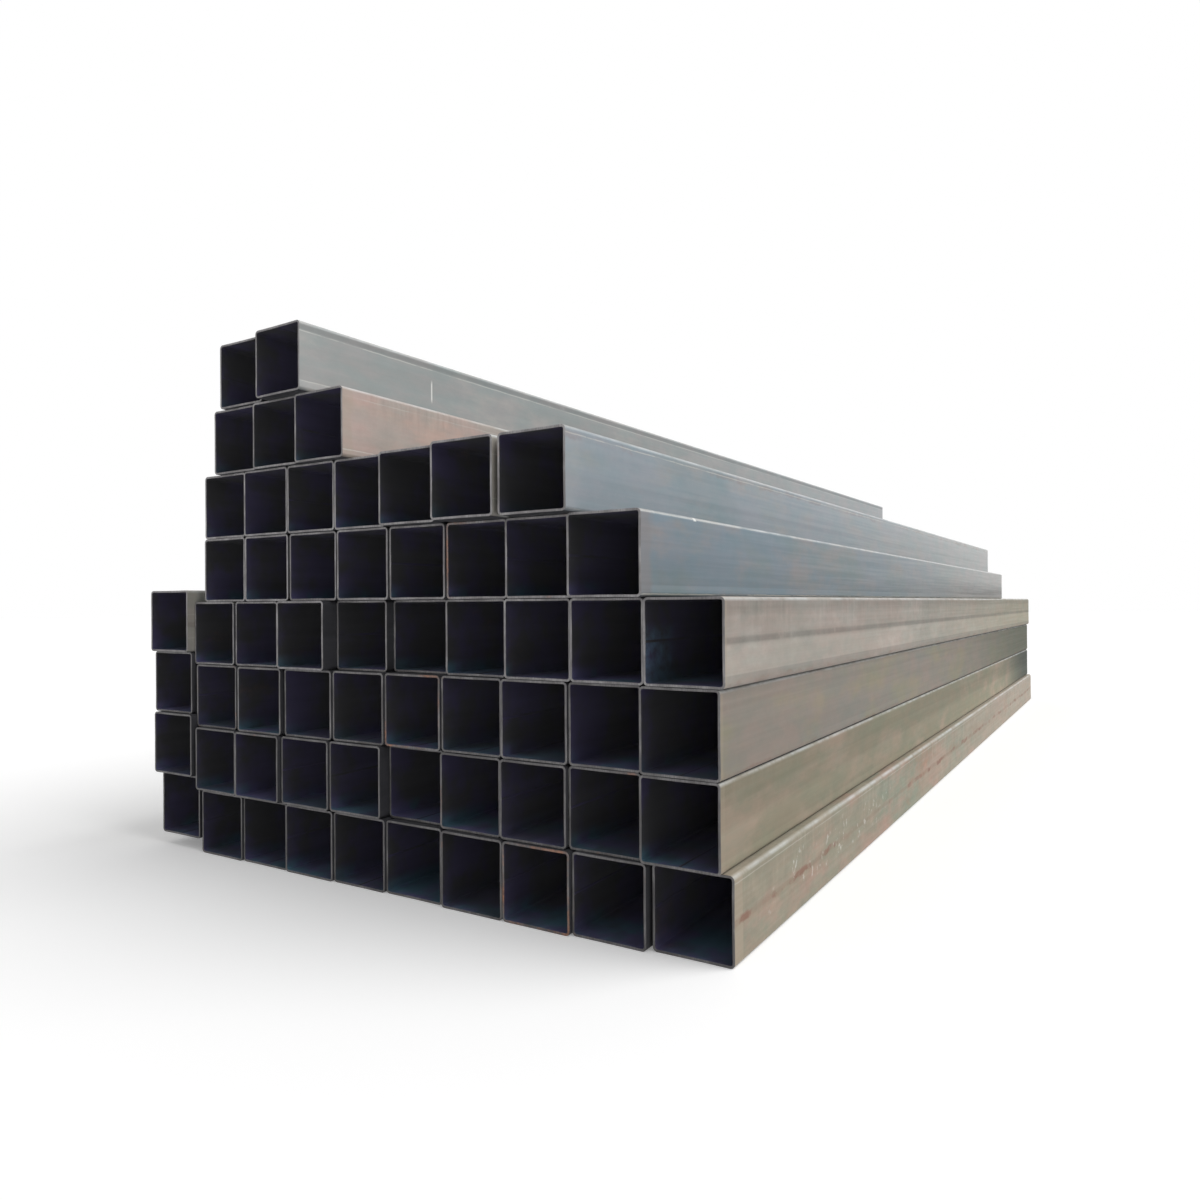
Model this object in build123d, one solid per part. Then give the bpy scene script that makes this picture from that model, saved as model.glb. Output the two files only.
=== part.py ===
from build123d import *
import os

# A stack of square steel tubes, lying along Y on a level floor. The tubes are laid in level layers.
# The near ends face -Y, and the layers step back from +X, the open side, as they rise.
# The tube at the far side of each of the lowest layers stands on battens, clear of the floor.
# All sizes are in millimetres and all angles in degrees.

# Tube section and length
SIDE = 200.0
WALL = 6.0
CORNER_RADIUS = 12.0
TUBE_LENGTH = 6000.0

# Least gap between two tubes side by side
SIDE_GAP = 0.5

# Battens under the raised column of tubes
BATTEN_THICKNESS = 38.0
BATTEN_WIDTH = 75.0
BATTEN_SET_IN = 10.0
BATTEN_COUNT = 3
BATTEN_END_DISTANCE = 700.0

# How many of the lowest layers have their last tube in the raised column
RAISED_LAYERS = 4

# The layers from the floor up. In each layer, tubes count from 1 at the open side.
# steps_in: how many whole tubes the layer starts in from the open side
# shift: how much further in it starts
# ends: how far each tube's near end is set back, or sticks out where it is negative
# gaps: the gaps wider than SIDE_GAP, each beyond the tube of that number
# turns: how far a tube is turned about its near end, its far end towards the open side
LAYERS = [
    {
        "steps_in": 0,
        "shift": 0.0,
        "ends": [20, 5, -5, -5, 5, 0, -5, 0, -5, 0],
        "gaps": {1: 8, 4: 6},
        "turns": {},
    },
    {
        "steps_in": 0,
        "shift": 22.0,
        "ends": [0, 15, 5, 10, 30, -5, -10, -20, -15, -20],
        "gaps": {4: 3, 7: 4, 8: 4},
        "turns": {},
    },
    {
        "steps_in": 0,
        "shift": 21.0,
        "ends": [0, 15, 10, 15, 10, 5, 0, -10, 0, -5],
        "gaps": {7: 6, 8: 19, 9: 4},
        "turns": {},
    },
    {
        "steps_in": 0,
        "shift": 9.0,
        "ends": [0, 5, 10, 30, 55, 30, -20, 10, 5, -20],
        "gaps": {3: 9, 4: 13, 7: 33},
        "turns": {},
    },
    {
        "steps_in": 1,
        "shift": 0.0,
        "ends": [-20, 5, 15, 10, 5, 10, 5, 5],
        "gaps": {5: 8},
        "turns": {},
    },
    {
        "steps_in": 2,
        "shift": -25.0,
        "ends": [-55, -60, -25, 0, 0, 0, 5],
        "gaps": {1: 12, 2: 18},
        "turns": {1: 0.75},
    },
    {
        "steps_in": 6,
        "shift": -60.0,
        "ends": [-25, -15, -5],
        "gaps": {},
        "turns": {},
    },
    {
        "steps_in": 6,
        "shift": 80.0,
        "ends": [-50, -15],
        "gaps": {1: 17},
        "turns": {1: 1.5},
    },
]


def make_tube():
    """One tube along +Y, its near end at Y 0, its underside at Z 0 and its open-side face at X 0."""
    bore = SIDE - 2 * WALL
    section = RectangleRounded(SIDE, SIDE, CORNER_RADIUS)
    section -= RectangleRounded(bore, bore, CORNER_RADIUS - WALL)
    body = extrude(Plane.XZ * section, -TUBE_LENGTH)
    return Pos(-SIDE / 2, 0, SIDE / 2) * body


def standing_count(index):
    """How many tubes of a layer rest on the layer below, without its tube in the raised column."""
    count = len(LAYERS[index]["ends"])
    return count - 1 if index < RAISED_LAYERS else count


def open_side_faces(index):
    """The X of the open-side face of each tube that rests on the layer below, from tube 1 on."""
    layer = LAYERS[index]
    face = -layer["steps_in"] * (SIDE + SIDE_GAP) - layer["shift"]
    faces = []
    for number in range(1, standing_count(index) + 1):
        faces.append(face)
        face -= SIDE + layer["gaps"].get(number, SIDE_GAP)
    return faces


def raised_face(index):
    """The X of the open-side face of a layer's raised tube, clear of its own layer and the next."""
    own_layer = open_side_faces(index)[-1] - SIDE
    next_layer = open_side_faces(index + 1)[-1] - SIDE
    gap = LAYERS[index]["gaps"].get(standing_count(index), SIDE_GAP)
    return min(own_layer - gap, next_layer - SIDE_GAP)


def layer_tubes(index, tube):
    """All tubes of one layer, at their places in the stack."""
    layer = LAYERS[index]
    faces = open_side_faces(index)
    heights = [index * SIDE] * len(faces)
    if index < RAISED_LAYERS:
        faces.append(raised_face(index))
        heights.append(index * SIDE + BATTEN_THICKNESS)
    placed = []
    for number, (face, height, end) in enumerate(zip(faces, heights, layer["ends"]), start=1):
        pivot = Pos(face - SIDE, end, height) * Rot(0, 0, -layer["turns"].get(number, 0))
        placed.append(pivot * Pos(SIDE, 0, 0) * tube)
    return placed


def packing_battens():
    """Short battens across the underside of the raised column, spread along the tubes."""
    length = SIDE - 2 * BATTEN_SET_IN
    batten = Box(length, BATTEN_WIDTH, BATTEN_THICKNESS, align=(Align.MAX, Align.CENTER, Align.MIN))
    first = LAYERS[0]["ends"][-1] + BATTEN_END_DISTANCE
    spacing = (TUBE_LENGTH - 2 * BATTEN_END_DISTANCE) / (BATTEN_COUNT - 1)
    x = raised_face(0) - BATTEN_SET_IN
    return [Pos(x, first + spacing * number, 0) * batten for number in range(BATTEN_COUNT)]


tube = make_tube()
nodes = {f"tubes_layer_{index + 1}": layer_tubes(index, tube) for index in range(len(LAYERS))}
nodes["packing_battens"] = packing_battens()

# The origin is on the floor, below the middle of the stack's outline
outline = Compound([solid for solids in nodes.values() for solid in solids]).bounding_box()
to_origin = Pos(-outline.center().X, -outline.center().Y, -outline.min.Z)

os.makedirs("parts", exist_ok=True)
for name, solids in nodes.items():
    export_step(Compound([to_origin * solid for solid in solids]), f"parts/{name}.step")
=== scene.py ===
import bmesh
import bpy
import random
from math import pi, radians
from mathutils import Matrix, Vector
from types import SimpleNamespace


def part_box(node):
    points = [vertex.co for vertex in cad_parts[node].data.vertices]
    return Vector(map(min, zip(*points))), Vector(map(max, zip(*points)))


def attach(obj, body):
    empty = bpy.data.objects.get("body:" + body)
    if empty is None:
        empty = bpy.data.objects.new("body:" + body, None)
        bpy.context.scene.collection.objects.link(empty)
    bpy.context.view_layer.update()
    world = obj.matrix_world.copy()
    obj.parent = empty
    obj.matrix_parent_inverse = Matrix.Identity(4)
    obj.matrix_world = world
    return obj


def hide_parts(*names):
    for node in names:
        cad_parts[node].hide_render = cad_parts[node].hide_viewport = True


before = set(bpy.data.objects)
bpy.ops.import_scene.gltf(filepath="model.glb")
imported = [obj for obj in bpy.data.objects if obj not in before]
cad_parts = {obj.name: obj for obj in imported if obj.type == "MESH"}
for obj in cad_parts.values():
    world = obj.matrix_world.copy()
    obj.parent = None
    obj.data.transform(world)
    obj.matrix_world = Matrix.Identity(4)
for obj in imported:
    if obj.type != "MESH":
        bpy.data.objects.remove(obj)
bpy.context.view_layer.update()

# Sizes that the frame doesn't give by itself, in metres
WALL = 0.006
CORNER_RADIUS = 0.012
TUBE_SIZES = {
    "Wall": WALL, "Corner Radius": CORNER_RADIUS, "End Chamfer": 0.0008,
    "Face Dish": 0.0006, "Bead Width": 0.007, "Bead Height": 0.0016,
}
BATTEN_EDGE = 0.003

# How finely a tube's corners, sides and bead are divided, and how sharp an edge has to be to look sharp
CORNER_STEPS = 5
SIDE_CUTS = 7
BEAD_SIDES = 10
SHARP_ANGLE = radians(32)

# A place on the wall counts as bore or skin beyond this share of the way out from the wall's middle
WALL_SIDE_LIMIT = 0.95

# How near corners of a CAD mesh lie that are one and the same
SAME_PLACE = 1e-5

# How far beyond the tubes above it, in sides, the middle of a covered tube may lie
COVER_MARGIN = 0.05

# Camera, measured from the open side's lowest tube, the mean plane of the near ends and the floor
CAMERA_BESIDE = 0.743
CAMERA_BEFORE = 1.729
CAMERA_HEIGHT = 0.786
CAMERA_YAW = radians(31.58)
CAMERA_PITCH = radians(0.235)
CAMERA_ROLL = radians(-0.392)
CAMERA_REACH = 200.0
FOCAL_SHARE = 0.7314
SENSOR_WIDTH = 36.0

# The lamp, the white floor with its glow, and how strongly the white background lights
LAMP_STRENGTH = 2.1
LAMP_SPREAD = radians(50)
LAMP_TOWARDS = (-0.62, -0.2, -0.76)
FLOOR_REACH = 60.0
FLOOR_GLOW = 0.2
FLOOR_TONE = (0.9, 0.9, 0.9, 1.0)
WHITE = (1.0, 1.0, 1.0, 1.0)
BACKGROUND_LIGHT = 0.45

LAYER_COUNT = 8
ALL_SEEDS = 11
SEEDS_A_LAYER = 16


def tone(red, green, blue):
    """A colour given in 0 to 255 display values, as the linear colour that the shaders use."""
    def linear(value):
        share = value / 255
        if share <= 0.04045:
            return share / 12.92
        return ((share + 0.055) / 1.055) ** 2.4
    return (linear(red), linear(green), linear(blue), 1.0)


# The band at a tube's near end, on tan steel and on grey
TAN_END = tone(156, 144, 126)
GREY_END = tone(168, 166, 164)

# Where a tube's tone starts to change, from its near end, and at what share of its length it is done
CHANGE_FROM = 0.6
CHANGE_DONE = 0.97

# What a finish has where it says nothing else
PLAIN_FINISH = {
    "far_from": CHANGE_FROM, "dull": 0.0, "seam": (0.0, 0.0), "lines": ((0.0, 0.0), (0.0, 0.0)),
    "rust_line": (0.0, 0.0), "end_tone": TAN_END, "far_shade": 0.0,
}

# What a tube carries under the name that it has in its finish
CARRIED_AS_GIVEN = (
    "far_from", "rust", "dull", "bands", "mottle", "drips", "end_band", "end_tone", "far_shade",
)

# The finish of the tube at the open side of each layer, from the floor up.
# near, far: its colour at the near end and at the far end, and far_from: where the change starts
# patch, stain: the colours of its patches
# rust: how far rust covers it, and dull: how much rougher it is than clean steel
# bands: how much lighter its head, its lower half and its foot are; the foot's is painted shade when
# below 0 and a painted highlight above 0
# seam: how dark its weld zone is, and how far above the tube's middle it lies
# lines: two long light lines, each as its height above the middle and its strength; scratches, and
# painted highlights where they run along a corner
# rust_line: a wandering line of rust, given the same way
# mottle: how blotchy its grime is, and drips: how strong the marks that run down it are
# end_band: how strong the band at its near end is, how far that reaches, and how soft its border is
# end_tone: the colour of that band
# far_shade: how much lighter its lower half turns towards the far end
OPEN_SIDE_FINISH = [
    {
        "near": tone(141, 135, 118), "far": tone(158, 147, 133),
        "patch": tone(162, 134, 120), "stain": tone(120, 133, 116),
        "rust": 0.52, "dull": 0.15, "bands": (-0.02, 0.02, 0.0),
        "lines": ((0.082, 0.22), (0.0, 0.0)), "rust_line": (-0.004, 0.8),
        "mottle": 0.15, "drips": 0.18, "end_band": (0.75, 0.045, 0.004),
    },
    {
        "near": tone(127, 122, 105), "far": tone(64, 68, 62), "far_from": 4.2,
        "patch": tone(145, 132, 117), "stain": tone(127, 126, 107),
        "rust": 0.12, "dull": 0.4, "bands": (-0.03, 0.11, 0.07), "seam": (0.05, 0.050),
        "mottle": 0.05, "drips": 0.04, "end_band": (0.25, 0.020, 0.008), "far_shade": 0.35,
    },
    {
        "near": tone(134, 126, 118), "far": tone(88, 90, 78), "far_from": 1.8,
        "patch": tone(137, 131, 112), "stain": tone(127, 125, 119),
        "rust": 0.10, "dull": 0.4, "bands": (0.0, 0.0, 0.03), "seam": (0.05, 0.060),
        "rust_line": (-0.096, 0.25),
        "mottle": 0.04, "drips": 0.03, "end_band": (0.35, 0.012, 0.005),
    },
    {
        "near": tone(143, 135, 127), "far": tone(134, 128, 112),
        "patch": tone(155, 147, 140), "stain": tone(132, 129, 122),
        "rust": 0.10, "dull": 0.15, "bands": (-0.19, 0.22, -0.28), "seam": (0.28, 0.004),
        "rust_line": (-0.095, 0.3),
        "mottle": 0.10, "drips": 0.12, "end_band": (0.35, 0.010, 0.004),
    },
    {
        "near": tone(108, 123, 134), "far": tone(157, 157, 156),
        "patch": tone(128, 125, 125), "stain": tone(106, 121, 122),
        "rust": 0.08, "bands": (0.04, -0.04, 0.22), "lines": ((0.094, 0.45), (-0.093, 0.75)),
        "mottle": 0.045, "drips": 0.03, "end_band": (0.75, 0.026, 0.036),
        "end_tone": tone(121, 118, 120), "far_shade": -0.45,
    },
    {
        "near": tone(134, 143, 151), "far": tone(164, 166, 166),
        "patch": tone(143, 144, 143), "stain": tone(122, 136, 142),
        "rust": 0.10, "bands": (0.08, -0.02, 0.05), "seam": (0.06, -0.020),
        "lines": ((0.082, 0.50), (-0.093, 0.50)), "rust_line": (0.080, 0.25),
        "mottle": 0.045, "drips": 0.03, "end_band": (0.15, 0.020, 0.060), "end_tone": GREY_END,
    },
    {
        "near": tone(173, 156, 150), "far": tone(156, 154, 150), "far_from": 0.3,
        "patch": tone(180, 158, 148), "stain": tone(158, 155, 149),
        "rust": 0.30, "dull": 0.1, "bands": (0.02, 0.0, -0.02),
        "lines": ((-0.078, 0.50), (0.072, 0.20)),
        "mottle": 0.08, "drips": 0.14, "end_band": (0.25, 0.030, 0.015),
    },
    {
        "near": tone(144, 147, 147), "far": tone(160, 164, 167), "far_from": 0.3,
        "patch": tone(158, 158, 156), "stain": tone(142, 148, 149),
        "rust": 0.06, "bands": (0.0, 0.02, 0.20), "seam": (0.24, 0.081),
        "lines": ((0.070, 0.45), (-0.072, 0.45)),
        "mottle": 0.04, "drips": 0.02, "end_band": (0.0, 0.030, 0.020), "end_tone": GREY_END,
    },
]

# Chalk on the open side of tube 1, by layer: how far along the tube and how far above its middle it
# lies, half its length and half its height, how sparse it is, how strong and how sharp
CHALK_MARKS = {
    1: (0.80, 0.010, 0.75, 0.065, 0.80, 0.50, 8.0),
    5: (0.28, 0.094, 0.010, 0.006, 0.0, 0.75, 14.0),
    8: (0.533, -0.002, 0.0038, 0.042, 0.0, 0.75, 14.0),
}

# A smudge on the far wall of a bore, by layer, given as the chalk marks are
BORE_SMUDGES = {4: (0.05, -0.035, 0.11, 0.080, 0.25, 0.60, 2.0)}

# What a tube without such a mark carries in its place
NO_MARK = (0.0, 0.0, 1e-5, 1e-5, 1.0, 0.0, 1.0)

# How far a mark reaches to either side of the face that it is on
MARK_DEPTH = 0.02

# Tubes, as layer and number, whose open side gets a painted pale reflection where it shows through the
# gap beside it, and how pale
GAP_REFLECTION_TUBES = {(6, 2), (4, 10)}
GAP_REFLECTION_SHARE = 0.4

# Tubes, as layer and number, whose sawn rim is rustier than the rest, and how rusty
RUSTY_RIMS = {
    (1, 2): 0.5, (1, 3): 0.85, (2, 1): 0.4, (2, 2): 0.55, (2, 4): 0.6,
    (3, 5): 0.65, (3, 9): 0.5, (5, 2): 0.7, (5, 3): 0.7,
}

# How light the sawn rims of each layer are, from the floor up
RIM_LIGHTNESS = (0.58, 0.54, 0.60, 0.92, 1.0, 1.0, 0.92, 0.92)

# Steel that isn't at the open side
COOL_STEEL = tone(116, 124, 131)
WARM_STEEL = tone(142, 134, 125)
PALE_PATCH = tone(158, 154, 149)
GREEN_STAIN = tone(124, 132, 122)
# A painted pale reflection for tube sides that show through a gap
GAP_REFLECTION_TONE = tone(200, 201, 197)
COVERED_SCALE = tone(66, 66, 70)

# Marks on the steel; the scratch and the rubbed corner tones also serve as painted highlights along its
# corners
DARK_RUST = tone(112, 76, 58)
LIGHT_RUST = tone(176, 124, 96)
RUST_LINE = tone(124, 86, 70)
SCRATCH_AND_HIGHLIGHT = tone(206, 206, 200)
RUBBED_AND_LIT_CORNER = tone(206, 211, 213)
YARD_DUST = tone(174, 166, 152)
CHALK = tone(226, 226, 222)
SMUDGE = tone(120, 160, 186)

# Mill scale in the bores, grey and violet, and the violet and the blue of the painted sky reflection on
# their floors
MOUTH_SCALE = (tone(66, 66, 68), tone(72, 68, 94))
DEEP_SCALE = (tone(132, 132, 134), tone(130, 127, 150))
FLOOR_REFLECTION = (tone(98, 96, 132), tone(82, 112, 128))

# The cool and the warm end of the tint that varies over the steel
TINT = ((0.93, 0.98, 0.97, 1.0), (1.05, 1.0, 0.99, 1.0))

SAWN_STEEL = (tone(126, 124, 126), tone(166, 164, 164))
DULL_SAWN_STEEL = tone(98, 95, 96)
SOFTWOOD = (tone(112, 92, 70), tone(168, 146, 116))
GREY_SOFTWOOD = tone(128, 120, 108)
TIMBER_DUST = tone(170, 160, 144)

# Heights on a tube's side, as shares of half the side, between which each band comes in or goes out
HEAD_BAND = (0.50, 0.76)
LOWER_BAND = (-0.14, 0.0)
FOOT_BAND = (-0.74, -0.70)
FAR_SHADE_BAND = (-0.7, 0.4)
DRIP_BAND = (-0.4, 0.9)

# How far out from a tube's middle its flat side starts, as shares of half the side
FLAT_SIDE = (0.955, 0.985)

# How much of the rust's mask shows on the skin, on top of that at its near end and how far in that
# reaches, on skin that is covered, in the bore and on the sawn rim
RUST_ON_SKIN = 0.36
RUST_AT_END = 0.3
RUST_END_REACH = 0.05
RUST_ON_COVERED = 0.3
RUST_IN_BORE = 0.12
RUST_ON_RIM = 0.8

# Rust shows where its noise is above an edge, which Cover lowers. Part of that noise is fine speckle
RUST_EDGE = 0.74
RUST_EDGE_DROP = 0.34
RUST_SPECKLE = 0.22
SPECKLE_FINENESS = 14.0
RUST_HARDNESS = 7.0

# How far in from its ends a bore turns lighter, and how far in and how high up its painted reflection
# reaches
BORE_LIGHT_DEPTH = 0.42
REFLECTION_DEPTH = 0.5
REFLECTION_HEIGHT = 0.25

DUST_ON_STEEL = 0.38
DUST_ON_TIMBER = 0.3

# Noise strays about a quarter to either side of its middle, and this brings that to 1
NOISE_MIDDLE = 0.5
NOISE_GAIN = 4.0

# How far two noise patterns are apart that read the same place
PATCH_SHIFT = (3.1, 8.7, 5.3)
REFLECTION_SHIFT = (6.1, 2.4, 9.3)
SEED_SHIFT = (17.3, 41.9, 29.7)


def fill(tree, socket, value):
    """The value linked to the socket where it comes from a node, and otherwise set on it."""
    if isinstance(value, bpy.types.NodeSocket):
        tree.links.new(value, socket)
    else:
        socket.default_value = value


def add(tree, kind, sockets=None, **settings):
    """A node of this kind, its settings set, and its sockets filled by name or place."""
    node = tree.nodes.new(kind)
    for name, value in settings.items():
        setattr(node, name, value)
    for socket, value in (sockets or {}).items():
        fill(tree, node.inputs[socket], value)
    return node


def compute(tree, operation, first, second=0.0, clamp=False):
    node = add(tree, "ShaderNodeMath", {0: first, 1: second}, operation=operation, use_clamp=clamp)
    return node.outputs[0]


def subtract(tree, first, second):
    return compute(tree, "SUBTRACT", first, second)


def product(tree, *values):
    result = values[0]
    for value in values[1:]:
        result = compute(tree, "MULTIPLY", result, value)
    return result


def total(tree, *values):
    result = values[0]
    for value in values[1:]:
        result = compute(tree, "ADD", result, value)
    return result


def largest(tree, first, second, third):
    return compute(tree, "MAXIMUM", compute(tree, "MAXIMUM", first, second), third)


def vector_math(tree, operation, *vectors):
    sockets = dict(enumerate(vectors))
    return add(tree, "ShaderNodeVectorMath", sockets, operation=operation).outputs[0]


def parts_of(tree, vector):
    return add(tree, "ShaderNodeSeparateXYZ", {0: vector}).outputs


def vector_of(tree, x=0.0, y=0.0, z=0.0):
    return add(tree, "ShaderNodeCombineXYZ", {0: x, 1: y, 2: z}).outputs[0]


def sizes_of(tree, vector):
    """The parts of a vector without their signs."""
    return parts_of(tree, vector_math(tree, "ABSOLUTE", vector))


def stretched(tree, vector, factors):
    return vector_math(tree, "MULTIPLY", vector, factors)


def remap(tree, value, low, high, to_low=0.0, to_high=1.0):
    """The value, eased from one range into another and held at both ends."""
    node = add(tree, "ShaderNodeMapRange", {0: value, 1: low, 2: high, 3: to_low, 4: to_high})
    node.interpolation_type = "SMOOTHSTEP"
    return node.outputs[0]


def blend_colours(tree, share, first, second, mode="MIX"):
    sockets = {0: share, 6: first, 7: second}
    return add(tree, "ShaderNodeMix", sockets, data_type="RGBA", blend_type=mode).outputs[2]


def noise(tree, vector, scale, detail, roughness):
    sockets = {"Vector": vector, "Scale": scale, "Detail": detail, "Roughness": roughness}
    return add(tree, "ShaderNodeTexNoise", sockets).outputs["Fac"]


def patches(tree, vector, grain, between, levels=(0.0, 1.0)):
    """Soft patches of noise. Its grain is its scale, detail and roughness."""
    return remap(tree, noise(tree, vector, *grain), *between, *levels)


def swing(tree, value, amount, gain=NOISE_GAIN):
    """How far noise strays from its middle, to either side, times the amount."""
    return product(tree, subtract(tree, value, NOISE_MIDDLE), gain, amount)


def new_group(name, inputs, **outputs):
    """An empty shader group. Its inputs come with their defaults, which is None for a vector."""
    group = bpy.data.node_groups.new(name, "ShaderNodeTree")
    for label, default in inputs.items():
        kind = "NodeSocketVector" if default is None else "NodeSocketFloat"
        socket = group.interface.new_socket(label, in_out="INPUT", socket_type=kind)
        if default is not None:
            socket.default_value = default
    for label, kind in outputs.items():
        group.interface.new_socket(label, in_out="OUTPUT", socket_type=f"NodeSocket{kind}")
    entry = group.nodes.new("NodeGroupInput").outputs
    leave = group.nodes.new("NodeGroupOutput").inputs
    return group, entry, leave


def moved_by_seed(tree, here):
    """A place on the tube, moved far away by the tube's seed, so that no two tubes look alike."""
    sockets = {0: SEED_SHIFT, "Scale": here["Seed"]}
    shift = add(tree, "ShaderNodeVectorMath", sockets, operation="SCALE")
    return vector_math(tree, "ADD", here["Place"], shift.outputs[0])


def rolled_streaks_group():
    """Light and dark streaks that run along the tube, as rolling leaves them."""
    inputs = {"Place": None, "Seed": 0.0, "Across": 20.0, "Along": 0.6, "Amount": 0.1}
    group, entry, leave = new_group("rolled_streaks", inputs, Lightness="Float", Height="Float")
    where = moved_by_seed(group, entry)
    scale = vector_of(group, entry["Across"], entry["Along"], entry["Across"])
    streak = noise(group, stretched(group, where, scale), 1.0, 5.0, 0.62)
    fill(group, leave["Lightness"], total(group, swing(group, streak, entry["Amount"]), 1.0))
    fill(group, leave["Height"], streak)
    return group


def rust_bloom_group():
    """Rust in soft patches with a speckled border, more of it where Cover is higher."""
    inputs = {"Place": None, "Seed": 0.0, "Scale": 6.0, "Cover": 0.3}
    group, entry, leave = new_group("rust_bloom", inputs, Mask="Float", Tint="Color")
    where = moved_by_seed(group, entry)
    drawn = stretched(group, where, (1.0, 0.45, 1.0))
    broad = noise(group, drawn, entry["Scale"], 6.0, 0.62)
    fine = noise(group, drawn, product(group, entry["Scale"], SPECKLE_FINENESS), 4.0, 0.7)
    broad_part = product(group, broad, 1.0 - RUST_SPECKLE)
    mixed = total(group, broad_part, product(group, fine, RUST_SPECKLE))
    edge = subtract(group, RUST_EDGE, product(group, entry["Cover"], RUST_EDGE_DROP))
    over = subtract(group, mixed, edge)
    fill(group, leave["Mask"], compute(group, "MULTIPLY", over, RUST_HARDNESS, clamp=True))
    tint = blend_colours(group, remap(group, fine, 0.35, 0.65), DARK_RUST, LIGHT_RUST)
    fill(group, leave["Tint"], tint)
    return group


def corner_wear_and_highlight_group():
    """Where long corners are rubbed bright and carry a painted highlight, from how near a place is to
    two faces at once.
    """
    inputs = {"Place": None, "Seed": 0.0, "Half Side": 0.1, "Width": 0.01}
    group, entry, leave = new_group("corner_wear_and_highlight", inputs, Mask="Float")
    sizes = sizes_of(group, entry["Place"])
    nearer = compute(group, "MINIMUM", sizes[0], sizes[2])
    start = subtract(group, entry["Half Side"], entry["Width"])
    rubbed = remap(group, nearer, start, entry["Half Side"])
    where = moved_by_seed(group, entry)
    worn_and_lit = patches(group, where, (9.0, 6.0, 0.7), (0.36, 0.62), (0.25, 1.0))
    fill(group, leave["Mask"], product(group, rubbed, worn_and_lit))
    return group


def yard_dust_group():
    """Dust that settles on what faces up and cakes in uneven patches."""
    inputs = {"Place": None, "Seed": 0.0, "Amount": 0.4}
    group, entry, leave = new_group("yard_dust", inputs, Mask="Float")
    normal = add(group, "ShaderNodeNewGeometry").outputs["Normal"]
    upward = parts_of(group, normal)[2]
    where = moved_by_seed(group, entry)
    caked = patches(group, where, (5.0, 7.0, 0.65), (0.38, 0.66), (0.2, 1.0))
    lying = product(group, remap(group, upward, 0.1, 0.9), caked)
    fill(group, leave["Mask"], product(group, lying, entry["Amount"]))
    return group


def chalk_mark_group():
    """Chalk on the open side of a tube, solid or in sparse flecks, broken up by the steel's grain."""
    inputs = {"Place": None, "Centre": None, "Half Size": None, "Sparseness": 0.2, "Sharpness": 14.0}
    group, entry, leave = new_group("chalk_mark", inputs, Mask="Float")
    away = vector_math(group, "SUBTRACT", entry["Place"], entry["Centre"])
    shares = sizes_of(group, vector_math(group, "DIVIDE", away, entry["Half Size"]))
    inside = remap(group, largest(group, *shares), 0.5, 1.0, 1.0, 0.0)
    fleck = noise(group, entry["Place"], 34.0, 4.0, 0.65)
    edge = total(group, 0.24, product(group, entry["Sparseness"], 0.45))
    over = subtract(group, fleck, edge)
    shown = compute(group, "MULTIPLY", over, entry["Sharpness"], clamp=True)
    fill(group, leave["Mask"], product(group, inside, shown))
    return group


def long_line_group():
    """A line along the side of a tube, at its own height, wandering a little and broken in places."""
    inputs = {
        "Place": None, "Seed": 0.0, "Height": 0.0,
        "Half Width": 0.002, "Wander": 0.001, "Breaks": 0.3,
    }
    group, entry, leave = new_group("long_line", inputs, Mask="Float")
    where = moved_by_seed(group, entry)
    strayed = swing(group, noise(group, where, 14.0, 5.0, 0.65), entry["Wander"])
    height = total(group, entry["Height"], strayed)
    up = parts_of(group, entry["Place"])[2]
    away = compute(group, "ABSOLUTE", subtract(group, up, height))
    core = product(group, entry["Half Width"], 0.35)
    line = remap(group, away, core, entry["Half Width"], 1.0, 0.0)
    edge = total(group, 0.30, product(group, entry["Breaks"], 0.4))
    full = total(group, edge, 0.12)
    kept = patches(group, where, (5.0, 5.0, 0.7), (edge, full), (0.25, 1.0))
    fill(group, leave["Mask"], product(group, line, kept))
    return group


GROUPS = {
    "line": long_line_group(),
    "streaks": rolled_streaks_group(),
    "rust": rust_bloom_group(),
    "wear_and_highlight": corner_wear_and_highlight_group(),
    "dust": yard_dust_group(),
    "chalk": chalk_mark_group(),
}


def use(tree, name, sockets):
    """One of the shared effects, placed in a material with its own values."""
    return add(tree, "ShaderNodeGroup", sockets, node_tree=GROUPS[name]).outputs


def new_material(name, metallic, roughness, specular=0.5):
    material = bpy.data.materials.new(name)
    material.use_nodes = True
    tree = material.node_tree
    shader = tree.nodes["Principled BSDF"]
    shader.inputs["Metallic"].default_value = metallic
    shader.inputs["Roughness"].default_value = roughness
    shader.inputs["Specular IOR Level"].default_value = specular
    return material, tree, shader


def set_bump(tree, shader, height, distance, strength):
    bump = add(tree, "ShaderNodeBump", {"Height": height, "Distance": distance, "Strength": strength})
    fill(tree, shader.inputs["Normal"], bump.outputs["Normal"])


def own(tree, name, output="Fac"):
    """A value that the tubes carry with them."""
    return add(tree, "ShaderNodeAttribute", attribute_name=name).outputs[output]


def own_parts(tree, name):
    """The three values that a tube carries under one name."""
    return parts_of(tree, own(tree, name, "Vector"))


def exposed_share(tree):
    """1 on the faces that the weather reaches, 0 on those that lie against other tubes or face down."""
    facing = parts_of(tree, add(tree, "ShaderNodeNewGeometry").outputs["Normal"])
    open_ways = own_parts(tree, "open_ways")
    right = product(tree, facing[0], open_ways[0])
    left = product(tree, facing[0], -1.0, open_ways[1])
    top = product(tree, facing[2], open_ways[2])
    return remap(tree, largest(tree, right, left, top), 0.25, 0.75)


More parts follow.
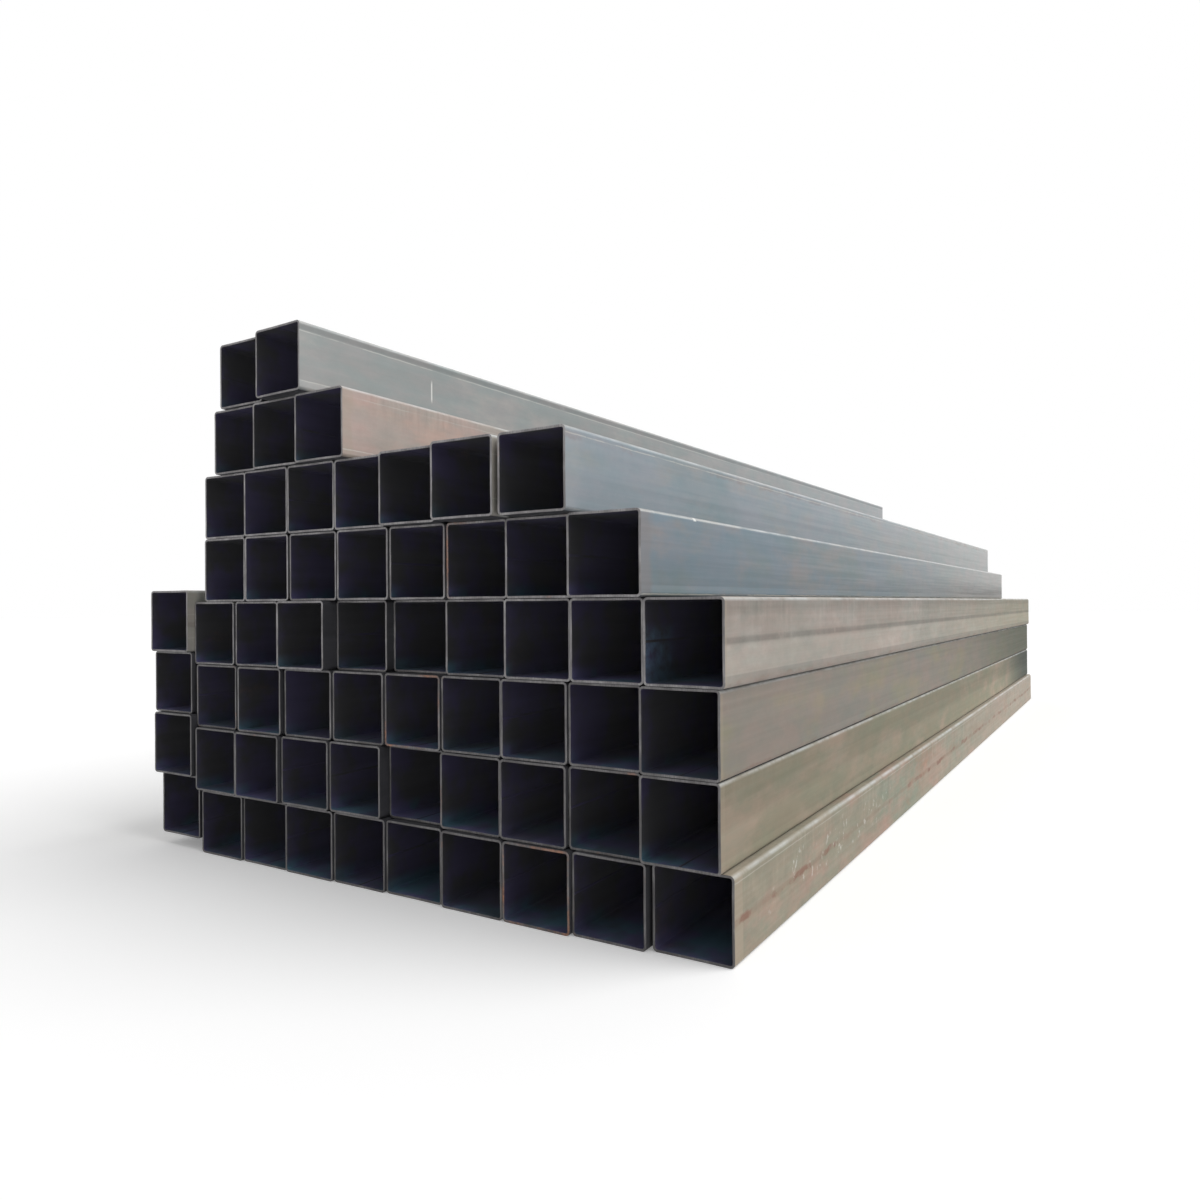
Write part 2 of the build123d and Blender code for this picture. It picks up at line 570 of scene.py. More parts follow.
def read_tube(tree):
    """What a tube's materials start from: the place on the tube, its parts, and the tube's seed.

    where is that place moved by the seed, and here is what most shared effects ask for."""
    place = own(tree, "place", "Vector")
    seed = own(tree, "tube_seed")
    across, along, up = parts_of(tree, place)
    here = {"Place": place, "Seed": seed}
    where = moved_by_seed(tree, here)
    return SimpleNamespace(place=place, across=across, along=along, up=up, here=here, where=where)


def scaled_colour(tree, colour, lightness):
    grey = vector_of(tree, lightness, lightness, lightness)
    return blend_colours(tree, 1.0, colour, grey, "MULTIPLY")


def steel_colour(tree, tube, length):
    """A tube's own colour, with stains, patches and a mottle, turning into its far tone."""
    drawn = stretched(tree, tube.where, (1.0, 0.35, 1.0))
    stain = patches(tree, drawn, (4.5, 5.0, 0.6), (0.46, 0.66), (0.0, 0.8))
    near = own(tree, "near_tone", "Color")
    colour = blend_colours(tree, stain, near, own(tree, "stain_tone", "Color"))
    elsewhere = vector_math(tree, "ADD", drawn, PATCH_SHIFT)
    patch = patches(tree, elsewhere, (6.0, 6.0, 0.62), (0.46, 0.66), (0.0, 0.85))
    colour = blend_colours(tree, patch, colour, own(tree, "patch_tone", "Color"))
    share = remap(tree, tube.along, own(tree, "far_from"), CHANGE_DONE * length)
    colour = blend_colours(tree, share, colour, own(tree, "far_tone", "Color"))
    warmth = patches(tree, drawn, (17.0, 4.0, 0.6), (0.35, 0.65))
    return blend_colours(tree, 1.0, colour, blend_colours(tree, warmth, *TINT), "MULTIPLY")


def by_height(tree, tube, half, band, *levels):
    """What goes from one level over into the other in this band of a tube's side."""
    return remap(tree, tube.up, band[0] * half, band[1] * half, *levels)


def band_lightness(tree, tube, half, length):
    """How much lighter the bands along a tube's side are than the rest of it, and its weld zone. The
    foot band is painted shade where it darkens and a painted highlight where it lightens.
    """
    def below(band):
        return by_height(tree, tube, half, band, 1.0, 0.0)

    head, lower, foot = own_parts(tree, "bands")
    head = product(tree, by_height(tree, tube, half, HEAD_BAND), head)
    lower = product(tree, below(LOWER_BAND), lower)
    # The foot band: painted shade at the bottom corner where it darkens, a painted highlight where it
    # lightens
    foot = product(tree, below(FOOT_BAND), foot)
    towards_far = remap(tree, tube.along, CHANGE_FROM, CHANGE_DONE * length)
    far = product(tree, towards_far, below(FAR_SHADE_BAND), own(tree, "far_shade"))
    weld = {
        **tube.here, "Height": own(tree, "seam_height"),
        "Half Width": 0.011, "Wander": 0.0004, "Breaks": 0.0,
    }
    seam = product(tree, use(tree, "line", weld)["Mask"], own(tree, "seam_dark"))
    outward = compute(tree, "ABSOLUTE", tube.across)
    on_side = remap(tree, outward, FLAT_SIDE[0] * half, FLAT_SIDE[1] * half)
    return product(tree, subtract(tree, total(tree, head, lower, foot, far), seam), on_side)


def side_lightness(tree, tube, side, length):
    """How light a place is, from the rolling streaks, drips, bands and grime, and its fine relief."""
    half = side / 2
    broad = use(tree, "streaks", {**tube.here, "Across": 12.0, "Along": 0.3, "Amount": 0.055})
    fine = use(tree, "streaks", {**tube.here, "Across": 90.0, "Along": 1.3, "Amount": 0.018})
    strength = own(tree, "drips")
    drip = use(tree, "streaks", {**tube.here, "Across": 7.0, "Along": 46.0, "Amount": strength})
    some_places = patches(tree, tube.where, (3.0, 3.0, 0.6), (0.40, 0.60))
    from_top = product(tree, by_height(tree, tube, half, DRIP_BAND), some_places)
    drips = product(tree, subtract(tree, drip["Lightness"], 1.0), from_top)
    blotch = noise(tree, stretched(tree, tube.where, (1.0, 0.6, 1.0)), 24.0, 7.0, 0.72)
    grime = swing(tree, blotch, own(tree, "mottle"))
    marks = total(tree, band_lightness(tree, tube, half, length), drips, 1.0, grime)
    rolled = product(tree, broad["Lightness"], fine["Lightness"])
    return product(tree, rolled, marks), fine["Height"]


def with_end_band(tree, tube, colour):
    """The colour with the band at the near end, its border ragged where it is soft."""
    amount, reach, softness = own_parts(tree, "end_band")
    ragged = swing(tree, noise(tree, tube.where, 12.0, 4.0, 0.6), softness, gain=3.0)
    edge = total(tree, tube.along, ragged)
    outer = total(tree, reach, softness)
    band = product(tree, remap(tree, edge, reach, outer, 1.0, 0.0), amount)
    return blend_colours(tree, band, colour, own(tree, "end_tone", "Color"))


def with_lines(tree, tube, colour):
    """The colour with the tube's two long light lines, scratches and painted corner highlights, and its
    line of rust.
    """
    heights = own_parts(tree, "line_heights")
    strengths = own_parts(tree, "line_strengths")
    # Light lines: scratches, and painted highlights where they run along a corner
    scratch_and_highlight = {"Half Width": 0.0022, "Wander": 0.0012, "Breaks": 0.25}
    rusty = {"Half Width": 0.0120, "Wander": 0.0080, "Breaks": 0.45}
    lines = ((scratch_and_highlight, SCRATCH_AND_HIGHLIGHT), (scratch_and_highlight, SCRATCH_AND_HIGHLIGHT), (rusty, RUST_LINE))
    for part, (kind, line_colour) in enumerate(lines):
        line = use(tree, "line", {**tube.here, "Height": heights[part], **kind})
        mask = product(tree, line["Mask"], strengths[part])
        colour = blend_colours(tree, mask, colour, line_colour)
    return colour


def chalk_share(tree, tube, name):
    """How far the chalk that a tube carries under this name covers a place."""
    sparseness, strength, sharpness = own_parts(tree, f"{name}_kind")
    mark = {
        "Place": tube.place,
        "Centre": own(tree, f"{name}_centre", "Vector"),
        "Half Size": own(tree, f"{name}_size", "Vector"),
        "Sparseness": sparseness,
        "Sharpness": sharpness,
    }
    return product(tree, use(tree, "chalk", mark)["Mask"], strength)


def with_wear_highlight_and_dust(tree, tube, colour, side):
    """The colour with long corners rubbed bright and given a painted highlight, most of all above, and
    dust on what faces up.
    """
    # Rubbed corners, with a painted highlight that is strongest along the top corners
    worn_and_lit = use(tree, "wear_and_highlight", {**tube.here, "Half Side": side / 2, "Width": CORNER_RADIUS})
    wear_and_highlight = product(tree, worn_and_lit["Mask"], remap(tree, tube.up, 0.0, 0.01, 0.12, 0.85))
    colour = blend_colours(tree, wear_and_highlight, colour, RUBBED_AND_LIT_CORNER)
    dust = use(tree, "dust", {**tube.here, "Amount": DUST_ON_STEEL})
    return blend_colours(tree, dust["Mask"], colour, YARD_DUST)


def tube_skin_material(side, length):
    """The outside of a tube: rolled steel, streaked, patched, rusty in places and dusty on top, with
    painted highlights along its corners and painted light and shade at its foot.
    """
    material, tree, shader = new_material("tube_skin", metallic=0.25, roughness=0.5)
    tube = read_tube(tree)
    lightness, fine_height = side_lightness(tree, tube, side, length)
    colour = scaled_colour(tree, steel_colour(tree, tube, length), lightness)
    colour = with_end_band(tree, tube, colour)
    rust = use(tree, "rust", {**tube.here, "Scale": 5.0, "Cover": own(tree, "rust")})
    near_end = remap(tree, tube.along, 0.0, RUST_END_REACH, RUST_AT_END, 0.0)
    rust_share = product(tree, rust["Mask"], total(tree, RUST_ON_SKIN, near_end))
    colour = blend_colours(tree, rust_share, colour, rust["Tint"])
    colour = with_lines(tree, tube, colour)
    colour = with_wear_highlight_and_dust(tree, tube, colour, side)
    colour = blend_colours(tree, chalk_share(tree, tube, "mark"), colour, CHALK)

    covered = scaled_colour(tree, COVERED_SCALE, lightness)
    covered_share = product(tree, rust["Mask"], RUST_ON_COVERED)
    covered = blend_colours(tree, covered_share, covered, rust["Tint"])
    colour = blend_colours(tree, exposed_share(tree), covered, colour)
    fill(tree, shader.inputs["Base Color"], colour)
    rough = total(tree, remap(tree, fine_height, 0.3, 0.7, 0.42, 0.6), own(tree, "dull"))
    rusty_rough = compute(tree, "ADD", rough, product(tree, rust_share, 0.5), clamp=True)
    fill(tree, shader.inputs["Roughness"], rusty_rough)
    relief = total(tree, fine_height, noise(tree, tube.where, 260.0, 3.0, 0.6))
    set_bump(tree, shader, relief, distance=0.0005, strength=0.5)
    return material


def tube_bore_material(side, length):
    """The inside of a tube: dark mill scale in blotches, with a painted blue sky reflection low down by
    the ends.
    """
    material, tree, shader = new_material("tube_bore", metallic=0.1, roughness=0.45, specular=0.35)
    tube = read_tube(tree)
    streaks = use(tree, "streaks", {**tube.here, "Across": 30.0, "Along": 1.5, "Amount": 0.12})
    depth = compute(tree, "MINIMUM", tube.along, subtract(tree, length, tube.along))
    violet = patches(tree, tube.where, (7.0, 4.0, 0.6), (0.40, 0.62), (0.0, 0.9))
    at_mouth = blend_colours(tree, violet, *MOUTH_SCALE)
    inside = blend_colours(tree, violet, *DEEP_SCALE)
    colour = blend_colours(tree, remap(tree, depth, 0.0, BORE_LIGHT_DEPTH), at_mouth, inside)

    # A painted blue sky reflection on the bore floor, low down by the ends
    elsewhere = vector_math(tree, "ADD", tube.where, REFLECTION_SHIFT)
    blue = patches(tree, elsewhere, (6.0, 4.0, 0.6), (0.42, 0.58))
    reflection = blend_colours(tree, blue, *FLOOR_REFLECTION)
    on_floor = remap(tree, tube.up, WALL - side / 2, REFLECTION_HEIGHT * side - side / 2, 1.0, 0.0)
    by_end = remap(tree, depth, 0.0, REFLECTION_DEPTH, 1.0, 0.1)
    strong = patches(tree, elsewhere, (3.5, 4.0, 0.6), (0.42, 0.60), (0.3, 1.0))
    colour = blend_colours(tree, product(tree, on_floor, by_end, strong), colour, reflection)
    colour = blend_colours(tree, chalk_share(tree, tube, "smudge"), colour, SMUDGE)
    colour = scaled_colour(tree, colour, streaks["Lightness"])
    rust = use(tree, "rust", {**tube.here, "Scale": 8.0, "Cover": own(tree, "rust")})
    colour = blend_colours(tree, product(tree, rust["Mask"], RUST_IN_BORE), colour, rust["Tint"])
    fill(tree, shader.inputs["Base Color"], colour)
    set_bump(tree, shader, streaks["Height"], distance=0.0006, strength=0.4)
    return material


def sawn_end_material():
    """The sawn rim of a tube: brighter steel with saw lines, rusting at its edge in places."""
    material, tree, shader = new_material("sawn_end", metallic=0.3, roughness=0.48)
    tube = read_tube(tree)
    saw = noise(tree, stretched(tree, tube.where, (260.0, 1.0, 18.0)), 1.0, 3.0, 0.6)
    colour = blend_colours(tree, remap(tree, saw, 0.3, 0.7), *SAWN_STEEL)
    dull = patches(tree, tube.where, (16.0, 4.0, 0.6), (0.35, 0.65))
    colour = blend_colours(tree, product(tree, dull, 0.7), colour, DULL_SAWN_STEEL)
    colour = scaled_colour(tree, colour, own(tree, "rim_lightness"))
    rust = use(tree, "rust", {**tube.here, "Scale": 7.0, "Cover": own(tree, "rim_rust")})
    colour = blend_colours(tree, product(tree, rust["Mask"], RUST_ON_RIM), colour, rust["Tint"])
    fill(tree, shader.inputs["Base Color"], colour)
    set_bump(tree, shader, saw, distance=0.0003, strength=0.6)
    return material


def timber_material():
    """Rough sawn softwood, greyed by weather, its grain along the batten."""
    material, tree, shader = new_material("batten_timber", metallic=0.0, roughness=0.82, specular=0.3)
    place = add(tree, "ShaderNodeTexCoord").outputs["Object"]
    drawn = stretched(tree, place, (6.0, 90.0, 90.0))
    grain = noise(tree, drawn, 1.0, 6.0, 0.65)
    greyed = patches(tree, drawn, (0.25, 2.0, 0.5), (0.45, 0.6), (0.0, 0.5))
    colour = blend_colours(tree, remap(tree, grain, 0.3, 0.7), *SOFTWOOD)
    colour = blend_colours(tree, greyed, colour, GREY_SOFTWOOD)
    dust = use(tree, "dust", {"Place": place, "Seed": 0.5, "Amount": DUST_ON_TIMBER})
    colour = blend_colours(tree, dust["Mask"], colour, TIMBER_DUST)
    fill(tree, shader.inputs["Base Color"], colour)
    set_bump(tree, shader, grain, distance=0.0012, strength=0.7)
    return material


def built(tree, kind, sockets, **settings):
    """What a geometry node of this kind puts out first."""
    return add(tree, f"GeometryNode{kind}", sockets, **settings).outputs[0]


def stored(tree, geometry, name, value, kind="FLOAT"):
    sockets = {"Geometry": geometry, "Name": name, "Value": value}
    return built(tree, "StoreNamedAttribute", sockets, data_type=kind, domain="POINT")


def carried(tree, name):
    """A number stored under this name."""
    return built(tree, "InputNamedAttribute", {"Name": name}, data_type="FLOAT")


def dished_path(tree, entry):
    """The middle line of the wall, once round the section, its four sides very slightly hollow."""
    across = subtract(tree, entry["Side"], entry["Wall"])
    square = built(tree, "CurvePrimitiveQuadrilateral", {"Width": across, "Height": across})
    radius = subtract(tree, entry["Corner Radius"], product(tree, entry["Wall"], 0.5))
    corner = {"Curve": square, "Radius": radius, "Count": CORNER_STEPS}
    rounded = built(tree, "FilletCurve", corner, mode="POLY")
    in_corner = compute(tree, "MODULO", built(tree, "InputIndex", {}), CORNER_STEPS + 1)
    starts_side = compute(tree, "GREATER_THAN", in_corner, CORNER_STEPS - 0.5)
    cuts = product(tree, starts_side, SIDE_CUTS)
    divided = built(tree, "SubdivideCurve", {"Curve": rounded, "Cuts": cuts})

    place = built(tree, "InputPosition", {})
    parts = parts_of(tree, place)
    sizes = sizes_of(tree, place)
    hollow = []
    for this_way, other_way in ((0, 1), (1, 0)):
        share = compute(tree, "DIVIDE", product(tree, sizes[other_way], 2.0), across)
        depth = subtract(tree, 1.0, product(tree, share, share))
        here = compute(tree, "GREATER_THAN", sizes[this_way], sizes[other_way])
        inward = product(tree, compute(tree, "SIGN", parts[this_way]), -1.0)
        amount = product(tree, depth, here, entry["Face Dish"])
        hollow.append(product(tree, amount, inward))
    return built(tree, "SetPosition", {"Geometry": divided, "Offset": vector_of(tree, *hollow)})


def wall_profile(tree, entry):
    """The wall cut lengthwise: as thick as the wall and as long as the tube, its ends chamfered.

    wall_side is stored on it: -1 at the bore, 1 at the outside."""
    size = {"Width": entry["Wall"], "Height": entry["Length"]}
    cut = built(tree, "CurvePrimitiveQuadrilateral", size)
    corner = {"Curve": cut, "Radius": entry["End Chamfer"], "Count": 1}
    eased = built(tree, "FilletCurve", corner, mode="POLY")
    sideways = parts_of(tree, built(tree, "InputPosition", {}))[0]
    share = compute(tree, "DIVIDE", product(tree, sideways, 2.0), entry["Wall"])
    return stored(tree, eased, "wall_side", share)


def laid_along(tree, geometry, length):
    """Turned from upright to lying along Y, its near end at Y 0."""
    shift = vector_of(tree, y=product(tree, length, 0.5))
    turn = {"Geometry": geometry, "Translation": shift, "Rotation": (-pi / 2, 0, 0)}
    return built(tree, "Transform", turn)


def weld_bead(tree, entry):
    """The low bead that the weld leaves inside the tube, along the middle of one face."""
    half_width = product(tree, entry["Bead Width"], 0.5)
    ring = built(tree, "CurvePrimitiveCircle", {"Resolution": BEAD_SIDES, "Radius": 1.0})
    scale = vector_of(tree, half_width, entry["Bead Height"], 1.0)
    oval = built(tree, "Transform", {"Geometry": ring, "Scale": scale})
    inner = subtract(tree, product(tree, entry["Side"], 0.5), entry["Wall"])
    start = vector_of(tree, y=entry["End Chamfer"], z=inner)
    finish = vector_of(tree, y=subtract(tree, entry["Length"], entry["End Chamfer"]), z=inner)
    line = built(tree, "CurvePrimitiveLine", {"Start": start, "End": finish})
    bead = built(tree, "CurveToMesh", {"Curve": line, "Profile Curve": oval, "Fill Caps": True})
    return stored(tree, bead, "wall_side", -1.0)


def tube_layer_tree():
    """Geometry nodes that lay one whole tube on each point of a layer, with the point's own finish."""
    tree = bpy.data.node_groups.new("tube_layer", "GeometryNodeTree")
    inputs = {
        "Geometry": ("Geometry",),
        "Float": ("Side", "Length", *TUBE_SIZES),
        "Material": ("Skin", "Bore", "Sawn End"),
    }
    for kind, names in inputs.items():
        for name in names:
            tree.interface.new_socket(name, in_out="INPUT", socket_type=f"NodeSocket{kind}")
    tree.interface.new_socket("Geometry", in_out="OUTPUT", socket_type="NodeSocketGeometry")
    entry = tree.nodes.new("NodeGroupInput").outputs
    leave = tree.nodes.new("NodeGroupOutput").inputs

    wall = {"Curve": dished_path(tree, entry), "Profile Curve": wall_profile(tree, entry)}
    tube = laid_along(tree, built(tree, "CurveToMesh", wall), entry["Length"])
    place = built(tree, "InputPosition", {})
    tube = stored(tree, tube, "place", place, "FLOAT_VECTOR")
    bead = stored(tree, weld_bead(tree, entry), "place", place, "FLOAT_VECTOR")

    turn = carried(tree, "turn")
    about_axis = product(tree, carried(tree, "seam_quarter"), pi / 2)
    joined = add(tree, "GeometryNodeJoinGeometry")
    for shape, rotation in (
        (tube, vector_of(tree, z=turn)),
        (bead, vector_of(tree, y=about_axis, z=turn)),
    ):
        laid = {"Points": entry["Geometry"], "Instance": shape, "Rotation": rotation}
        tree.links.new(built(tree, "InstanceOnPoints", laid), joined.inputs[0])
    real = built(tree, "RealizeInstances", {"Geometry": joined.outputs[0]})

    wall_side = carried(tree, "wall_side")
    inside = compute(tree, "LESS_THAN", wall_side, -WALL_SIDE_LIMIT)
    outside = compute(tree, "GREATER_THAN", wall_side, WALL_SIDE_LIMIT)
    dressed = built(tree, "SetMaterial", {"Geometry": real, "Material": entry["Sawn End"]})
    for name, where in (("Bore", inside), ("Skin", outside)):
        part = {"Geometry": dressed, "Material": entry[name], "Selection": where}
        dressed = built(tree, "SetMaterial", part)
    tree.links.new(dressed, leave[0])
    return tree


def joined_shape(node):
    """The mesh of a CAD node, its faces joined where they meet."""
    shape = bmesh.new()
    shape.from_mesh(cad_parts[node].data)
    bmesh.ops.remove_doubles(shape, verts=shape.verts, dist=SAME_PLACE)
    return shape


def tubes_in(node):
    """Each tube of a CAD layer as (middle of its near end, middle of its far end), open side first."""
    shape = joined_shape(node)
    left = set(shape.verts)
    tubes = []
    while left:
        reached = [left.pop()]
        members = []
        while reached:
            vertex = reached.pop()
            members.append(vertex.co.copy())
            for edge in vertex.link_edges:
                other = edge.other_vert(vertex)
                if other in left:
                    left.remove(other)
                    reached.append(other)
        middle = sum((place.y for place in members)) / len(members)
        ends = []
        for group in ([p for p in members if p.y < middle], [p for p in members if p.y > middle]):
            ends.append(sum(group, Vector()) / len(group))
        tubes.append(ends)
    shape.free()
    return sorted(tubes, key=lambda ends: -ends[0].x)


def mixed(first, second, share):
    return tuple(a + (b - a) * share for a, b in zip(first, second))


def chance_finish(chance):
    """A finish for a tube that isn't at the open side."""
    near = mixed(COOL_STEEL, WARM_STEEL, chance.random())
    return {
        "near": near,
        "far": mixed(near, PALE_PATCH, 0.3 * chance.random()),
        "patch": mixed(near, PALE_PATCH, 0.4 + 0.6 * chance.random()),
        "stain": mixed(near, GREEN_STAIN, 0.3 + 0.6 * chance.random()),
        "rust": 0.1 + 0.5 * chance.random() ** 2,
        "dull": 0.3 * chance.random(),
        "bands": [chance.uniform(-0.06, 0.08) for part in range(3)],
        "seam": (0.2 * chance.random(), chance.uniform(-0.06, 0.06)),
        "lines": [(chance.uniform(-0.08, 0.08), 0.3 * chance.random()) for line in range(2)],
        "rust_line": (chance.uniform(-0.08, 0.08), 0.5 * chance.random() ** 2),
        "mottle": 0.05,
        "drips": chance.uniform(0.02, 0.1),
        "end_band": (0.5 * chance.random(), chance.uniform(0.01, 0.05), chance.uniform(0.004, 0.03)),
    }


def open_ways(layer, number, tubes, tubes_above, side):
    """Which ways a tube is open: 1 or 0 for its open side, its other side and its top."""
    above = [near.x for near, far in tubes_above]
    place = tubes[number - 1][0].x
    margin = COVER_MARGIN * side
    covered = bool(above) and min(above) - margin < place < max(above) + margin
    # A side with a painted reflection in its gap counts as open
    to_open_side = number == 1 or (layer, number) in GAP_REFLECTION_TUBES
    return (float(to_open_side), float(number == len(tubes)), float(not covered))


def mark_values(name, mark, across):
    """What a tube carries for a chalk mark: its middle, half its size, and its kind."""
    along, height, half_length, half_height, *kind = mark or NO_MARK
    return {
        f"{name}_centre": (across, along, height),
        f"{name}_size": (MARK_DEPTH, half_length, half_height),
        f"{name}_kind": tuple(kind),
    }


def tube_values(layer, number, finish, side, chance):
    """The values that one tube carries into its materials."""
    heights, strengths = zip(*finish["lines"], finish["rust_line"])
    dark, seam_height = finish["seam"]
    marks = (CHALK_MARKS.get(layer), BORE_SMUDGES.get(layer)) if number == 1 else (None, None)
    return {
        "tube_seed": layer + number / SEEDS_A_LAYER,
        "seam_quarter": float(chance.randrange(4)),
        **{f"{name}_tone": finish[name] for name in ("near", "far", "patch", "stain")},
        **{name: finish[name] for name in CARRIED_AS_GIVEN},
        "rim_lightness": RIM_LIGHTNESS[layer - 1],
        "rim_rust": RUSTY_RIMS.get((layer, number), chance.choice([0.1, 0.15, 0.2, 0.3, 0.4])),
        "seam_dark": dark,
        "seam_height": seam_height,
        "line_heights": heights,
        "line_strengths": strengths,
        **mark_values("mark", marks[0], side / 2),
        **mark_values("smudge", marks[1], WALL - side / 2),
    }


def layer_points(layer, tubes, tubes_above, side):
    """A mesh with one point at each tube's near end, carrying that tube's turn and finish."""
    chance = random.Random(ALL_SEEDS + layer)
    mesh = bpy.data.meshes.new(f"layer_{layer}_points")
    mesh.from_pydata([tuple(near) for near, far in tubes], [], [])
    every_tube = []
    for number, (near, far) in enumerate(tubes, start=1):
        by_chance = chance_finish(chance)
        finish = {**PLAIN_FINISH, **(OPEN_SIDE_FINISH[layer - 1] if number == 1 else by_chance)}
        # Tubes seen through a gap get a painted pale reflection mixed into their tones
        if (layer, number) in GAP_REFLECTION_TUBES:
            for part in ("near", "far", "patch", "stain"):
                finish[part] = mixed(finish[part], GAP_REFLECTION_TONE, GAP_REFLECTION_SHARE)
        values = tube_values(layer, number, finish, side, chance)
        values["open_ways"] = open_ways(layer, number, tubes, tubes_above, side)
        values["turn"] = (near.x - far.x) / (far.y - near.y)
        every_tube.append(values)
    kinds = {float: ("FLOAT", "value"), 3: ("FLOAT_VECTOR", "vector"), 4: ("FLOAT_COLOR", "color")}
    for name, example in every_tube[0].items():
        kind, field = kinds[float if isinstance(example, float) else len(example)]
        attribute = mesh.attributes.new(name, kind, "POINT")
        for point, values in zip(attribute.data, every_tube):
            setattr(point, field, values[name])
    return mesh


def new_object(name, data):
    """An object with this data, placed in the scene."""
    made = bpy.data.objects.new(name, data)
    bpy.context.scene.collection.objects.link(made)
    return made


def plain_mesh(source):
    """The object as its modifiers leave it, as a mesh of its own."""
    evaluated = source.evaluated_get(bpy.context.evaluated_depsgraph_get())
    return bpy.data.meshes.new_from_object(evaluated)


def finished_piece(source, name):
    """The evaluated object as a plain mesh in a new object, its faces pointing out."""
    mesh = plain_mesh(source)
    mesh.name = name
    shape = bmesh.new()
    shape.from_mesh(mesh)
    bmesh.ops.recalc_face_normals(shape, faces=shape.faces)
    shape.to_mesh(mesh)
    shape.free()
    bpy.data.objects.remove(source)
    return new_object(name, mesh)


def weight_normals(piece):
    """Smooth corners between faces that stay flat, with sharp sawn edges."""
    piece.data.shade_smooth()
    piece.data.set_sharp_from_angle(angle=SHARP_ANGLE)
    modifier = piece.modifiers.new("corner_normals", "WEIGHTED_NORMAL")
    modifier.keep_sharp = True
    mesh = plain_mesh(piece)
    old = piece.data
    piece.modifiers.clear()
    piece.data = mesh
    bpy.data.meshes.remove(old)
    mesh.name = piece.name


def build_layer(layer, tubes, tubes_above, tree, side, materials):
    """All tubes of one layer as one piece, in place of its CAD node."""
    source = new_object(f"layer_{layer}_source", layer_points(layer, tubes, tubes_above, side))
    near, far = tubes[0]
    values = {"Side": side, "Length": (far - near).length, **TUBE_SIZES, **materials}
    modifier = source.modifiers.new("tube_layer", "NODES")
    modifier.node_group = tree
    for item in tree.interface.items_tree:
        if item.in_out == "INPUT" and item.name in values:
            modifier[item.identifier] = values[item.name]
    piece = finished_piece(source, f"layer_{layer}_tubes")
    weight_normals(piece)
    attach(piece, "root")
    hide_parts(f"tubes_layer_{layer}")


def build_battens(material):
    """The battens with slightly broken edges, in place of their CAD node."""
    shape = joined_shape("packing_battens")
    bmesh.ops.dissolve_limit(shape, angle_limit=radians(1), verts=shape.verts, edges=shape.edges)
    bmesh.ops.recalc_face_normals(shape, faces=shape.faces)
    edges = list(shape.edges)
    bmesh.ops.bevel(shape, geom=edges, offset=BATTEN_EDGE, segments=2, affect="EDGES", profile=0.5)
    mesh = bpy.data.meshes.new("timber_battens")
    shape.to_mesh(mesh)
    shape.free()
    mesh.materials.append(material)
    piece = new_object("timber_battens", mesh)
    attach(piece, "root")
    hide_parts("packing_battens")


def background_seen(tree):
    """1 where the white background is seen straight or in a reflection, 0 where it only lights."""
    path = add(tree, "ShaderNodeLightPath").outputs
    return largest(tree, path["Is Camera Ray"], path["Is Transmission Ray"], path["Is Glossy Ray"])


def build_floor():
    """A plain white floor that keeps the stack's soft shadow."""
    material, tree, shader = new_material("white_floor", metallic=0.0, roughness=0.9, specular=0.1)
    shader.inputs["Base Color"].default_value = FLOOR_TONE
    shader.inputs["Emission Color"].default_value = WHITE
    fill(tree, shader.inputs["Emission Strength"], product(tree, background_seen(tree), FLOOR_GLOW))
    mesh = bpy.data.meshes.new("studio_floor")
    corners = [(x * FLOOR_REACH, y * FLOOR_REACH, 0) for x, y in ((-1, -1), (1, -1), (1, 1), (-1, 1))]
    mesh.from_pydata(corners, [], [(0, 1, 2, 3)])
    mesh.materials.append(material)
    new_object("studio_floor", mesh)


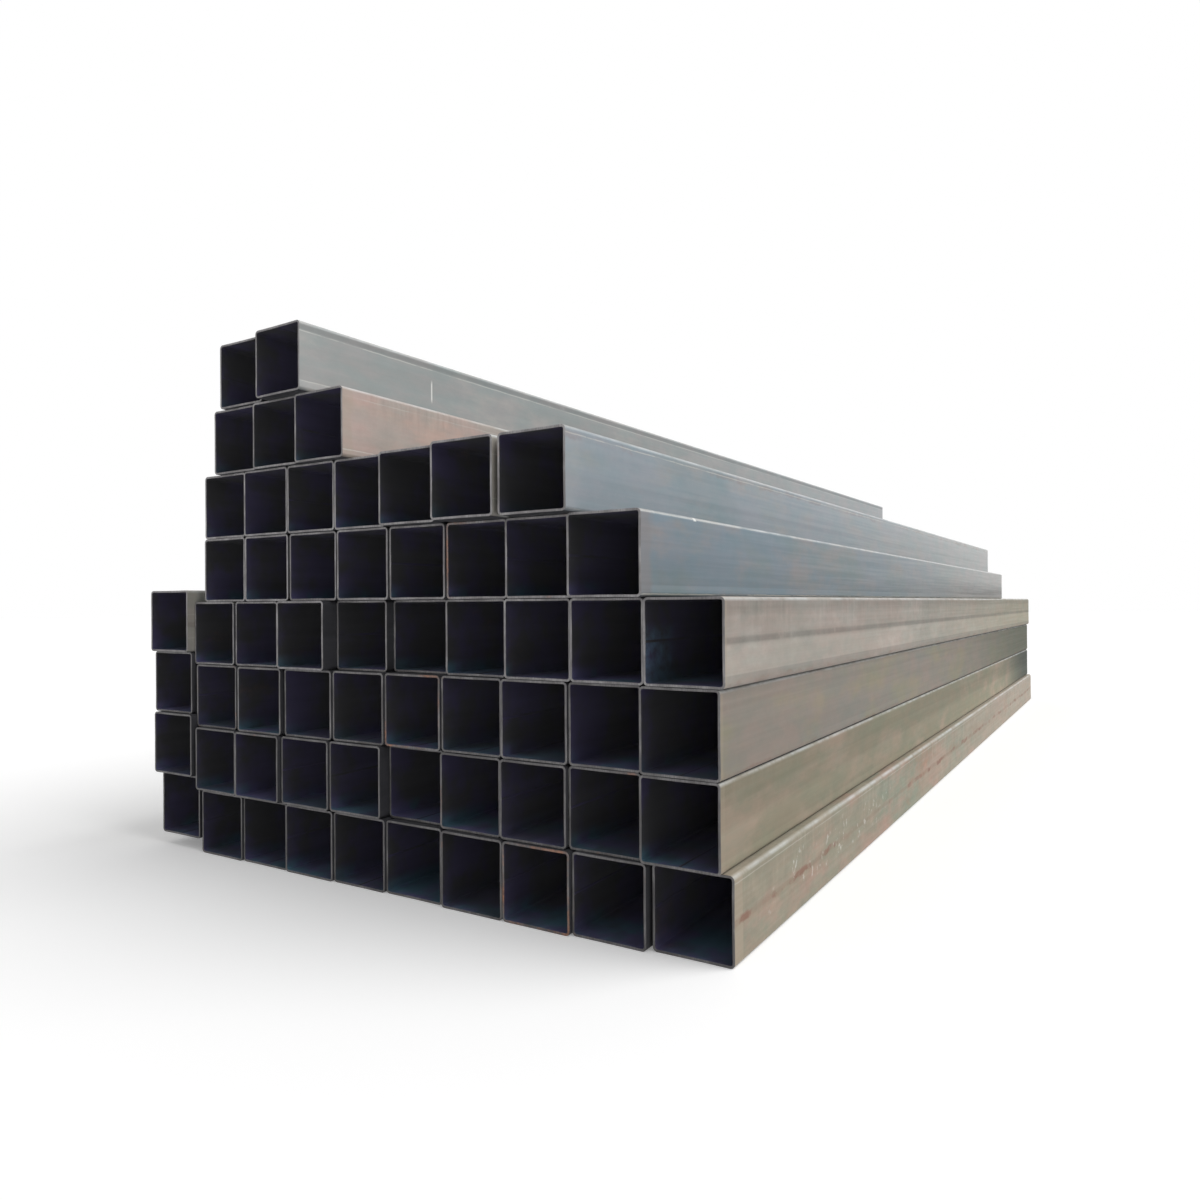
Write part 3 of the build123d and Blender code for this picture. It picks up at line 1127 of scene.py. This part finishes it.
def build_world():
    """Even white light from all round, and a white background."""
    world = bpy.data.worlds.new("studio_world")
    world.use_nodes = True
    tree = world.node_tree
    background = tree.nodes["Background"]
    background.inputs["Color"].default_value = WHITE
    strength = remap(tree, background_seen(tree), 0.0, 1.0, BACKGROUND_LIGHT, 1.0)
    fill(tree, background.inputs["Strength"], strength)
    bpy.context.scene.world = world


def build_lamp():
    """A broad soft lamp on the open side."""
    lamp = bpy.data.lights.new("open_side_lamp", "SUN")
    lamp.energy = LAMP_STRENGTH
    lamp.angle = LAMP_SPREAD
    holder = new_object("open_side_lamp", lamp)
    holder.rotation_euler = Vector(LAMP_TOWARDS).to_track_quat("-Z", "Y").to_euler()


def build_camera(open_face, near_plane):
    """The camera at the photograph's place and angle."""
    camera = bpy.data.cameras.new("photo_camera")
    camera.sensor_width = SENSOR_WIDTH
    camera.lens = SENSOR_WIDTH * FOCAL_SHARE
    camera.sensor_fit = "HORIZONTAL"
    camera.clip_end = CAMERA_REACH
    holder = new_object("photo_camera", camera)
    place = Matrix.Translation((open_face + CAMERA_BESIDE, near_plane - CAMERA_BEFORE, CAMERA_HEIGHT))
    tilt = Matrix.Rotation(pi / 2 + CAMERA_PITCH, 4, "X") @ Matrix.Rotation(CAMERA_ROLL, 4, "Z")
    holder.matrix_world = place @ Matrix.Rotation(CAMERA_YAW, 4, "Z") @ tilt
    bpy.context.scene.camera = holder


def main():
    low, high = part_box("tubes_layer_7")
    side = high.z - low.z
    length = high.y - low.y
    materials = {
        "Skin": tube_skin_material(side, length),
        "Bore": tube_bore_material(side, length),
        "Sawn End": sawn_end_material(),
    }
    tree = tube_layer_tree()
    layers = [tubes_in(f"tubes_layer_{layer}") for layer in range(1, LAYER_COUNT + 1)]
    for layer, (tubes, tubes_above) in enumerate(zip(layers, layers[1:] + [[]]), start=1):
        build_layer(layer, tubes, tubes_above, tree, side, materials)
    build_battens(timber_material())
    build_floor()
    build_world()
    build_lamp()
    near_ends = [near.y for tubes in layers for near, far in tubes]
    build_camera(layers[0][0][0].x + side / 2, sum(near_ends) / len(near_ends))
    bpy.context.scene.view_settings.view_transform = "Standard"


main()
